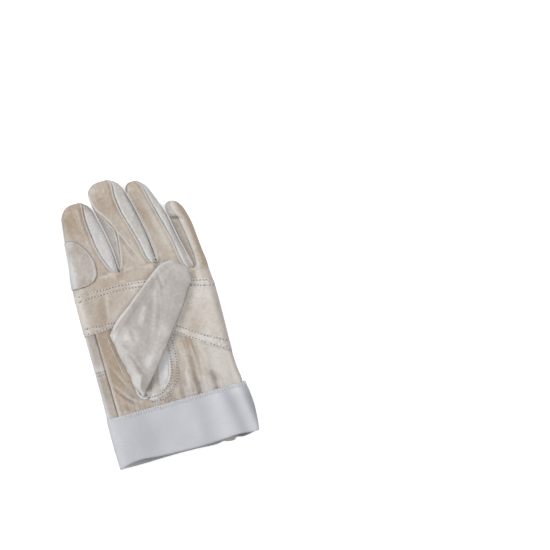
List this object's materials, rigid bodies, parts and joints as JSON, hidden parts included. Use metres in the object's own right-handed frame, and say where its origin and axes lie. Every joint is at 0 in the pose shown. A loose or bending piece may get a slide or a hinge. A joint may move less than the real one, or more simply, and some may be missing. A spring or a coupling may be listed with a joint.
{
  "type": "leather work glove",
  "caption": "Left-hand tan and pale leather work glove lying palm up, thumb folded over a double-stitched palm band, with a wide white elastic cuff and a wrist strap.",
  "frame": {"origin": "on the flat of the back, under the middle of the palm, where the glove rests on a table", "axes": "+Y from the cuff to the fingertips, +X from the thumb side to the little finger, +Z out of the palm"},
  "size_m": [0.1275, 0.2443, 0.0311],
  "materials": {
    "tan_leather": "satin",
    "pale_leather": "satin",
    "cuff_elastic": "matte",
    "fastening_tape": "matte"
  },
  "bodies": {
    "hand": {"palm_upper": "tan_leather", "palm_band": "pale_leather", "palm_lower": "tan_leather", "saddle_patch": "pale_leather", "thumb_gusset": "pale_leather", "back_panel": "pale_leather", "elastic_cuff": "cuff_elastic", "strap_root": "tan_leather", "loop_tape": "fastening_tape"},
    "index": {"index_front": "tan_leather", "index_back": "pale_leather", "index_fourchette_far_side": "pale_leather", "index_patch": "pale_leather"},
    "middle": {"middle_front": "tan_leather", "middle_back": "pale_leather", "middle_fourchette_thumb_side": "pale_leather", "middle_fourchette_far_side": "pale_leather"},
    "ring": {"ring_front": "tan_leather", "ring_back": "pale_leather", "ring_fourchette_thumb_side": "pale_leather", "ring_fourchette_far_side": "pale_leather"},
    "little": {"little_front": "tan_leather", "little_back": "pale_leather", "little_fourchette_thumb_side": "pale_leather"},
    "thumb": {"thumb_back": "pale_leather", "thumb_side": "pale_leather", "thumb_front": "pale_leather"},
    "strap": {"strap_flap": "tan_leather", "hook_tape": "fastening_tape"}
  },
  "joints": [
    {"name": "index_flex", "type": "hinge", "parent": "hand", "child": "index", "pos_m": [-0.037, 0.06, 0.0162], "axis": [1, 0, 0], "range_deg": [0, 80]},
    {"name": "middle_flex", "type": "hinge", "parent": "hand", "child": "middle", "pos_m": [0.0012, 0.06, 0.0162], "axis": [1, 0, 0], "range_deg": [0, 80]},
    {"name": "ring_flex", "type": "hinge", "parent": "hand", "child": "ring", "pos_m": [0.031, 0.06, 0.0162], "axis": [1, 0, 0], "range_deg": [0, 80]},
    {"name": "little_flex", "type": "hinge", "parent": "hand", "child": "little", "pos_m": [0.0517, 0.06, 0.0162], "axis": [1, 0, 0], "range_deg": [0, 80]},
    {"name": "thumb_unfold", "type": "hinge", "parent": "hand", "child": "thumb", "pos_m": [-0.0315, -0.02, 0.0204], "axis": [0.2117, -0.9772, -0.0163], "range_deg": [0, 140]},
    {"name": "strap_open", "type": "hinge", "parent": "hand", "child": "strap", "pos_m": [-0.044, -0.079, 0.0024], "axis": [0.1719, 0.9851, 0], "range_deg": [0, 150]}
  ]
}
